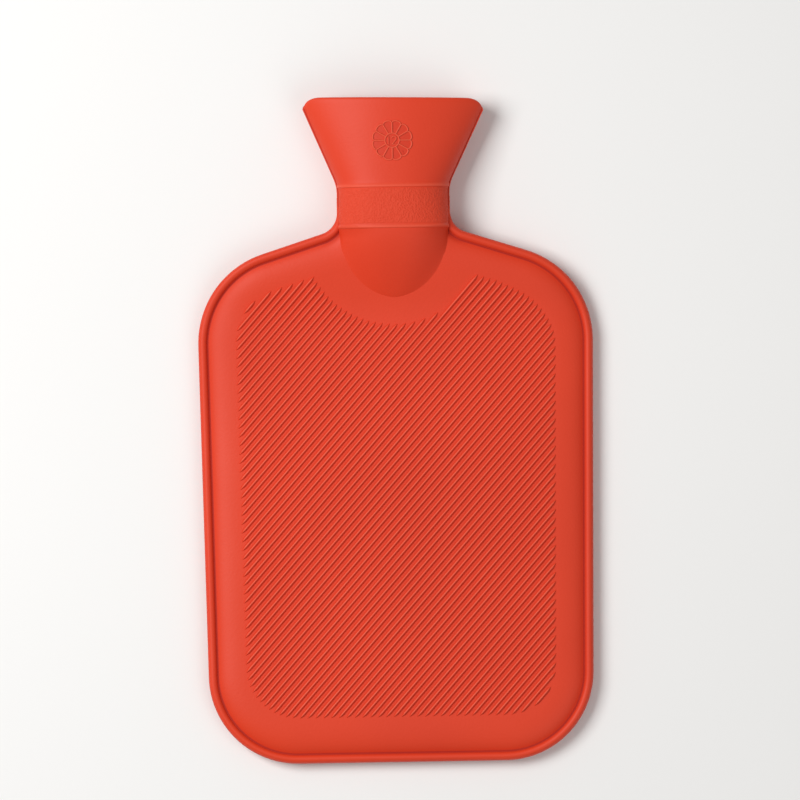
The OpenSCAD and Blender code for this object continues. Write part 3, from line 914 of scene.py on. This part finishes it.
class BOTTLE_OT_sealing_washer(bpy.types.Operator):
    """Makes the black rubber ring that seals the stopper on its bush"""
    bl_idname = "bottle.sealing_washer"
    bl_label = "Sealing washer"

    def execute(self, context):
        s = context.scene.stopper_sizes
        outer = (WASHER_HIGH[0] - WASHER_LOW[0]) / 2
        edge = s.washer_edge_r
        low, high = WASHER_LOW[1], WASHER_HIGH[1]
        skin = Skin()
        lathe(skin, [(s.washer_hole_r, low), (outer - edge, low), (outer, low + edge),
                     (outer, high - edge), (outer - edge, high), (s.washer_hole_r, high)],
              closed=True)
        ring = skin.make("sealing_ring")
        finish_piece(ring, sealing_rubber(context.scene.finishes), "stopper_seal",
                     "black_rubber", "sealing_washer", smooth=50)
        return {"FINISHED"}


def grip_collar(s):
    """The round collar that presses the washer on the bush."""
    bpy.ops.mesh.primitive_cylinder_add(
        vertices=96, radius=(WASHER_HIGH[0] - WASHER_LOW[0]) / 2, depth=s.collar_t,
        location=(0, WASHER_HIGH[1] + s.collar_t / 2, AXIS_Z), rotation=(-math.pi / 2, 0, 0))
    collar = bpy.context.object
    apply_place(collar)
    bevel = collar.modifiers.new("edges", "BEVEL")
    bevel.width = s.collar_edge
    bevel.segments = 3
    bevel.limit_method = "ANGLE"
    apply_modifiers(collar)
    return collar


def grip_wing(s):
    """The wing that the fingers turn: waisted at its foot, dished at its sides, crowned on top."""
    low, high = WASHER_HIGH[1] + s.collar_t - s.wing_sunk, GRIP_HIGH[1]
    bpy.ops.mesh.primitive_cube_add(size=1, location=(0, (low + high) / 2, AXIS_Z))
    wing = bpy.context.object
    wing.scale = (s.grip_w, high - low, s.grip_t)
    apply_place(wing)
    bpy.ops.object.mode_set(mode="EDIT")
    bpy.ops.mesh.select_all(action="SELECT")
    bpy.ops.mesh.subdivide(number_cuts=s.grip_cuts)
    bpy.ops.object.mode_set(mode="OBJECT")
    waist = s.grip_waist_w / s.grip_w
    full_width_at = 0.75
    for v in wing.data.vertices:
        up = (v.co.y - low) / (high - low)
        side = abs(v.co.x) / (s.grip_w / 2)
        flare = waist + (1 - waist) * math.sin(min(1.0, up / full_width_at) * math.pi / 2)
        dish = 1 - s.grip_dish * math.sin(math.pi * up) * math.cos(side * math.pi / 2)
        v.co.x *= flare
        v.co.z = AXIS_Z + (v.co.z - AXIS_Z) * dish
        v.co.y -= s.grip_crown * max(0.0, 2 * up - 1) * side ** 2
    smooth = wing.modifiers.new("smooth", "SUBSURF")
    smooth.levels = smooth.render_levels = 2
    apply_modifiers(wing)
    return wing


class BOTTLE_OT_stopper_grip(bpy.types.Operator):
    """Makes the moulded plastic grip of the stopper: a round collar and a waisted wing"""
    bl_idname = "bottle.stopper_grip"
    bl_label = "Stopper grip"

    def execute(self, context):
        s = context.scene.stopper_sizes
        grip = grip_collar(s)
        activate(grip, grip_wing(s))
        bpy.ops.object.join()
        grip.name = grip.data.name = "waisted_grip"
        clean(grip)
        finish_piece(grip, moulded_plastic(context.scene.finishes), "stopper",
                     "black_plastic", "stopper_grip", smooth=35)
        return {"FINISHED"}


def add_light(name, place, size, power):
    """A square soft light that faces the bottle."""
    bpy.ops.object.light_add(type="AREA", location=place)
    lamp = bpy.context.object
    lamp.name = name
    lamp.data.shape = "SQUARE"
    lamp.data.size = size
    lamp.data.energy = power
    lamp.rotation_mode = "QUATERNION"
    lamp.rotation_quaternion = (-Vector(place)).to_track_quat("-Z", "Y")


def add_surroundings(scene, strength):
    """Pale light from all sides."""
    world = bpy.data.worlds.new("pale_surroundings")
    world.use_nodes = True
    back = world.node_tree.nodes["Background"]
    plug(world.node_tree, back, {"Color": (1.0, 1.0, 1.0, 1.0), "Strength": strength})
    scene.world = world


class BOTTLE_OT_stage(bpy.types.Operator):
    """Sets the pale table top, the soft lights and the camera above the bottle"""
    bl_idname = "bottle.stage"
    bl_label = "Table, lights and camera"

    def execute(self, context):
        st = context.scene.studio
        bpy.ops.mesh.primitive_plane_add(size=st.table_w, location=(0, 0, 0))
        table = bpy.context.object
        table.name = "table_top"
        table.data.materials.append(pale_table(context.scene.finishes))
        add_light("key_light", st.key_place, st.key_size, st.key_power)
        add_light("fill_light", st.fill_place, st.fill_size, st.fill_power)
        add_surroundings(context.scene, st.sky)
        context.scene.view_settings.view_transform = "Standard"
        bpy.ops.object.camera_add(location=st.camera_place, rotation=(0, 0, st.camera_turn))
        camera = bpy.context.object
        # the view's width is measured 10 mm above the table, near the height of the ribs
        away = st.camera_place[2] - 10 * MM
        camera.data.sensor_width = 36
        camera.data.lens = camera.data.sensor_width * away / st.view_w
        camera.data.clip_start = 0.01
        camera.data.clip_end = 20
        context.scene.camera = camera
        return {"FINISHED"}


def plug(tree, made, inputs):
    """Gives sockets of a node their values, or links them to outputs of other nodes."""
    for key, value in inputs.items():
        if isinstance(value, bpy.types.NodeSocket):
            tree.links.new(value, made.inputs[key])
        else:
            made.inputs[key].default_value = value


def node(tree, kind, inputs=None, **settings):
    """Adds a node with its settings, and the values and links of its sockets."""
    made = tree.nodes.new(kind)
    for key, value in settings.items():
        setattr(made, key, value)
    plug(tree, made, inputs or {})
    return made


def new_material(name):
    """A node material with its tree, its shader and its object coordinates."""
    material = bpy.data.materials.new(name)
    material.use_nodes = True
    tree = material.node_tree
    place = node(tree, "ShaderNodeTexCoord").outputs["Object"]
    return material, tree, tree.nodes["Principled BSDF"], place


def changed(rgba, times=1.0, plus=0.0):
    """A colour made darker or lighter."""
    return [v * times + plus for v in rgba[:3]] + [1.0]


def neck_band(tree, place, n):
    """Where the band between the two ridges lies, and its grain like leather, 0.9 mm wide."""
    half = n.neck_l / 2 - n.ridge_w / 2
    middle_y = BOTTLE_LOW[1] + n.neck_y + n.neck_l / 2
    split = node(tree, "ShaderNodeSeparateXYZ", {"Vector": place})
    up = node(tree, "ShaderNodeMath", {0: split.outputs["Y"], 1: middle_y}, operation="SUBTRACT")
    away = node(tree, "ShaderNodeMath", {0: up.outputs[0]}, operation="ABSOLUTE")
    band = node(tree, "ShaderNodeMapRange", {
        "Value": away.outputs[0], "From Min": half, "From Max": half - 0.6 * MM})
    cells = node(tree, "ShaderNodeTexVoronoi", {"Vector": place, "Scale": 1 / (0.9 * MM)})
    grain = node(tree, "ShaderNodeMath", {0: cells.outputs["Distance"], 1: band.outputs["Result"]},
                 operation="MULTIPLY")
    return band.outputs["Result"], grain.outputs[0]


def rosette_painted_shade(tree, place, n):
    """A mark of painted shade on the floor inside the rosette, which lies a little deeper."""
    centre = (0, BOTTLE_LOW[1] + n.rosette_y, AXIS_Z + n.funnel_t / 2)
    away = node(tree, "ShaderNodeVectorMath", {0: place, 1: centre}, operation="DISTANCE")
    disc = node(tree, "ShaderNodeMapRange", {
        "Value": away.outputs["Value"], "From Min": n.rosette_r,
        "From Max": n.rosette_r - 0.6 * MM, "To Max": 0.2})
    return disc.outputs["Result"]


def moulded_rubber(c, shape):
    """Natural rubber, vulcanised in a mould: a soft even sheen, a fine skin and a matt neck band."""
    material, tree, shader, place = new_material("moulded_natural_rubber")
    band, grain = neck_band(tree, place, shape.n)

    # crests get a painted highlight and grooves get painted shade; both marks come from the mesh
    crest = node(tree, "ShaderNodeAttribute", attribute_name="crest").outputs["Fac"]
    recess = node(tree, "ShaderNodeAttribute", attribute_name="recess").outputs["Fac"]
    # painted shade on the rosette's floor and in the marked grooves
    floor = rosette_painted_shade(tree, place, shape.n)
    deep = node(tree, "ShaderNodeMath", {0: recess, 1: floor}, operation="MAXIMUM")

    # slow clouds in the colour, 90 mm wide, as in any rubber mix
    clouds = node(tree, "ShaderNodeTexNoise", {
        "Vector": place, "Scale": 1 / (90 * MM), "Detail": 3.0}).outputs["Fac"]
    tone = node(tree, "ShaderNodeMapRange", {
        "Value": clouds, "From Min": 0.3, "From Max": 0.7, "To Max": 0.12})
    base = node(tree, "ShaderNodeMix", {
        0: tone.outputs["Result"], 6: c.rubber, 7: c.rubber_tone_and_shade}, data_type="RGBA")
    darker = node(tree, "ShaderNodeMix", {
        0: deep.outputs[0], 6: base.outputs[2], 7: c.rubber_tone_and_shade}, data_type="RGBA")
    # the band's grain and the painted highlight on the crests lighten the colour
    bright = node(tree, "ShaderNodeMath", {0: grain, 1: 0.3, 2: crest}, operation="MULTIPLY_ADD")
    share = node(tree, "ShaderNodeMath", {0: bright.outputs[0], 1: 0.6}, operation="MULTIPLY")
    lit = node(tree, "ShaderNodeMix", {
        0: share.outputs[0], 6: darker.outputs[2], 7: c.rubber_grain_and_highlight}, data_type="RGBA")

    # soft sheen, duller on the band and in the grooves
    sheen = node(tree, "ShaderNodeMapRange", {
        "Value": clouds, "From Min": 0.3, "From Max": 0.7, "To Min": 0.48, "To Max": 0.58})
    duller = node(tree, "ShaderNodeMath", {0: band, 1: 0.16, 2: sheen.outputs["Result"]},
                  operation="MULTIPLY_ADD")
    dullest = node(tree, "ShaderNodeMath", {0: recess, 1: 0.3, 2: duller.outputs[0]},
                   operation="MULTIPLY_ADD")

    # a fine skin everywhere, drawn 1.2 mm wide so that it shows, and the grain on the band
    skin = node(tree, "ShaderNodeTexNoise", {
        "Vector": place, "Scale": 1 / (1.2 * MM), "Detail": 2.0})
    height = node(tree, "ShaderNodeMath", {0: grain, 1: 4.5, 2: skin.outputs["Fac"]},
                  operation="MULTIPLY_ADD")
    bump = node(tree, "ShaderNodeBump", {
        "Strength": 0.8, "Distance": 0.09 * MM, "Height": height.outputs[0]})
    plug(tree, shader, {"Base Color": lit.outputs[2], "Roughness": dullest.outputs[0],
                        "Normal": bump.outputs["Normal"], "IOR": 1.52, "Specular IOR Level": 0.3})
    return material


def turned_brass(c):
    """Brass turned on a lathe: warm metal with fine rings left by the tool."""
    material, tree, shader, place = new_material("turned_brass")
    rings = node(tree, "ShaderNodeTexWave", {
        "Vector": place, "Scale": 1 / (1.6 * MM), "Distortion": 0.4},
        wave_type="BANDS", bands_direction="Y")
    spots = node(tree, "ShaderNodeTexNoise", {
        "Vector": place, "Scale": 1 / (4 * MM), "Detail": 3.0}).outputs["Fac"]
    tint = node(tree, "ShaderNodeMix", {0: spots, 6: c.brass, 7: changed(c.brass, times=0.75)},
                data_type="RGBA")
    rough = node(tree, "ShaderNodeMapRange", {"Value": spots, "To Min": 0.24, "To Max": 0.38})
    bump = node(tree, "ShaderNodeBump", {
        "Strength": 0.25, "Distance": 0.02 * MM, "Height": rings.outputs["Fac"]})
    plug(tree, shader, {"Base Color": tint.outputs[2], "Roughness": rough.outputs["Result"],
                        "Normal": bump.outputs["Normal"], "Metallic": 1.0})
    return material


def sealing_rubber(c):
    """Black sealing rubber, moulded: dull, with a fine dusty bloom."""
    material, tree, shader, place = new_material("moulded_black_rubber")
    bloom = node(tree, "ShaderNodeTexNoise", {
        "Vector": place, "Scale": 1 / (3 * MM), "Detail": 4.0}).outputs["Fac"]
    tint = node(tree, "ShaderNodeMix", {0: bloom, 6: c.washer, 7: changed(c.washer, plus=0.02)},
                data_type="RGBA")
    bump = node(tree, "ShaderNodeBump", {"Strength": 0.3, "Distance": 0.03 * MM, "Height": bloom})
    plug(tree, shader, {"Base Color": tint.outputs[2], "Roughness": 0.7,
                        "Normal": bump.outputs["Normal"]})
    return material


def moulded_plastic(c):
    """Black thermoplastic, moulded: a soft gloss with the faint orange peel of the mould."""
    material, tree, shader, place = new_material("moulded_black_plastic")
    peel = node(tree, "ShaderNodeTexNoise", {
        "Vector": place, "Scale": 1 / (1.5 * MM), "Detail": 2.0}).outputs["Fac"]
    rough = node(tree, "ShaderNodeMapRange", {"Value": peel, "To Min": 0.26, "To Max": 0.38})
    bump = node(tree, "ShaderNodeBump", {"Strength": 0.25, "Distance": 0.02 * MM, "Height": peel})
    plug(tree, shader, {"Base Color": c.plastic, "Roughness": rough.outputs["Result"],
                        "Normal": bump.outputs["Normal"], "IOR": 1.5})
    return material


def pale_table(c):
    """Matt painted board: pale, even and without shine."""
    material, tree, shader, place = new_material("matt_painted_board")
    shade = node(tree, "ShaderNodeTexNoise", {
        "Vector": place, "Scale": 1 / (300 * MM), "Detail": 1.0}).outputs["Fac"]
    tint = node(tree, "ShaderNodeMix", {0: shade, 6: c.floor, 7: changed(c.floor, times=0.97)},
                data_type="RGBA")
    plug(tree, shader, {"Base Color": tint.outputs[2], "Roughness": 0.85})
    return material


class BOTTLE_PT_panel(bpy.types.Panel):
    """Lists the steps that build the bottle"""
    bl_label = "Hot water bottle"
    bl_idname = "BOTTLE_PT_panel"
    bl_space_type = "VIEW_3D"
    bl_region_type = "UI"
    bl_category = "Bottle"

    def draw(self, context):
        for operator in OPERATORS:
            self.layout.operator(operator.bl_idname)
        for group in ("bottle_sizes", "neck_sizes", "stopper_sizes", "finishes", "studio"):
            box = self.layout.box()
            settings = getattr(context.scene, group)
            for name in type(settings).__annotations__:
                box.prop(settings, name)


OPERATORS = [BOTTLE_OT_rubber_bottle, BOTTLE_OT_threaded_bush, BOTTLE_OT_stopper_stud,
             BOTTLE_OT_sealing_washer, BOTTLE_OT_stopper_grip, BOTTLE_OT_stage]
GROUPS = {"bottle_sizes": BottleSizes, "neck_sizes": NeckSizes, "stopper_sizes": StopperSizes,
          "finishes": Finishes, "studio": StudioSettings}


def register():
    """Makes the settings, the steps and the panel known."""
    for cls in (*GROUPS.values(), *OPERATORS, BOTTLE_PT_panel):
        bpy.utils.register_class(cls)
    for name, group in GROUPS.items():
        setattr(bpy.types.Scene, name, PointerProperty(type=group))


def unregister():
    """Takes the settings, the steps and the panel away again."""
    for name in GROUPS:
        delattr(bpy.types.Scene, name)
    for cls in reversed((*GROUPS.values(), *OPERATORS, BOTTLE_PT_panel)):
        bpy.utils.unregister_class(cls)


def main():
    """Builds the whole bottle."""
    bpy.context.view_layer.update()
    register()
    for operator in OPERATORS:
        group, name = operator.bl_idname.split(".")
        getattr(getattr(bpy.ops, group), name)()


if __name__ == "__main__":
    main()
